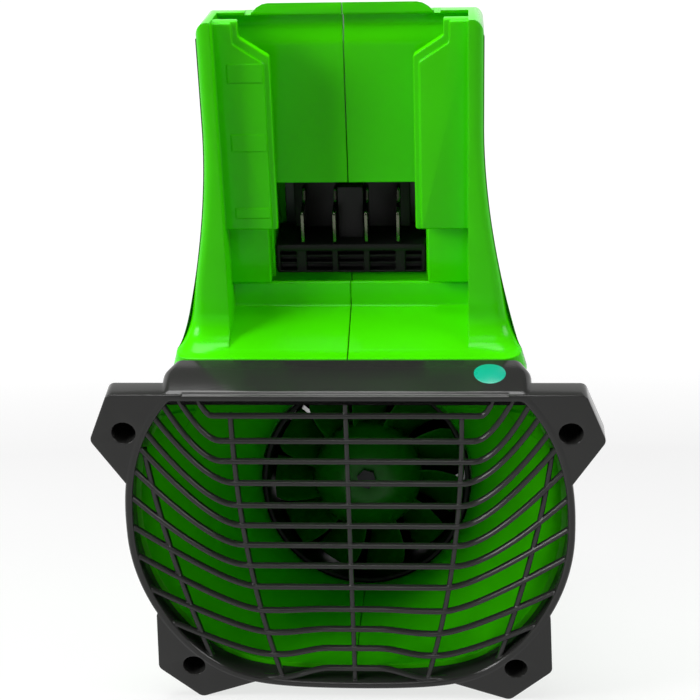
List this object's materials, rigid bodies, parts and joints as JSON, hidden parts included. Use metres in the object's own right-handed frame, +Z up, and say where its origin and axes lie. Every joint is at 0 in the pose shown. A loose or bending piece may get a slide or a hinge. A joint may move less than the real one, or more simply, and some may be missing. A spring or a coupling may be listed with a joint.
{
  "type": "cordless axial leaf blower",
  "caption": "Cordless axial leaf blower with a rear battery bay, barred intake grille, top handle with trigger, axial fan and a tapered blow tube.",
  "frame": {"origin": "on the floor under the middle of the machine's length, midway between its sides", "axes": "+Y along the air stream, from the intake to the tube's tip; +Z up; +X to the right seen from behind"},
  "size_m": [0.1562, 0.5101, 0.2216],
  "materials": {
    "green_shell": "glossy moulded",
    "green_fan": "satin moulded",
    "grey_plastic": "satin moulded",
    "black_plastic": "fine matt",
    "contact_metal": "plated",
    "dark_steel": "blackened",
    "board": "lacquered"
  },
  "bodies": {
    "machine": {"housing_left": "green_shell", "housing_right": "green_shell", "intake_grille": "grey_plastic", "grille_screw_1": "dark_steel", "grille_screw_2": "dark_steel", "grille_screw_3": "dark_steel", "grille_screw_4": "dark_steel", "housing_screw_1": "dark_steel", "housing_screw_2": "dark_steel", "housing_screw_3": "dark_steel", "housing_screw_4": "dark_steel", "housing_screw_5": "dark_steel", "housing_screw_6": "dark_steel", "terminal_block": "black_plastic", "contact_blade_1": "contact_metal", "contact_blade_2": "contact_metal", "contact_blade_3": "contact_metal", "contact_blade_4": "contact_metal", "signal_pin_1": "contact_metal", "signal_pin_2": "contact_metal", "control_board": "board", "motor_can": "dark_steel", "motor_bearing": "dark_steel", "stator_ring": "grey_plastic", "tail_cone": "black_plastic", "blow_tube": "grey_plastic", "trigger_pin": "dark_steel", "trigger_switch": "black_plastic"},
    "fan": {"impeller": "green_fan", "motor_shaft": "dark_steel", "impeller_screw": "dark_steel"},
    "trigger": {"trigger": "black_plastic"},
    "lever": {"speed_lever": "black_plastic"},
    "button": {"tube_lock_button": "black_plastic"}
  },
  "joints": [
    {"name": "fan_spin", "type": "hinge", "parent": "machine", "child": "fan", "pos_m": [0, -0.11712, 0.06092], "axis": [0, 1, 0], "continuous": true},
    {"name": "trigger_pull", "type": "hinge", "parent": "machine", "child": "trigger", "pos_m": [0, -0.08112, 0.15842], "axis": [-1, 0, 0], "range_deg": [0, 9], "stiffness_Nm_per_rad": 0.15, "springref_deg": -5.73},
    {"name": "lever_turn", "type": "hinge", "parent": "machine", "child": "lever", "pos_m": [-0.017, -0.06012, 0.16192], "axis": [-1, 0, 0], "range_deg": [0, 60]},
    {"name": "button_press", "type": "slide", "parent": "machine", "child": "button", "axis": [0, 0, -1], "range_m": [0, 0.0025], "stiffness_N_per_m": 400, "springref_m": -0.001}
  ]
}
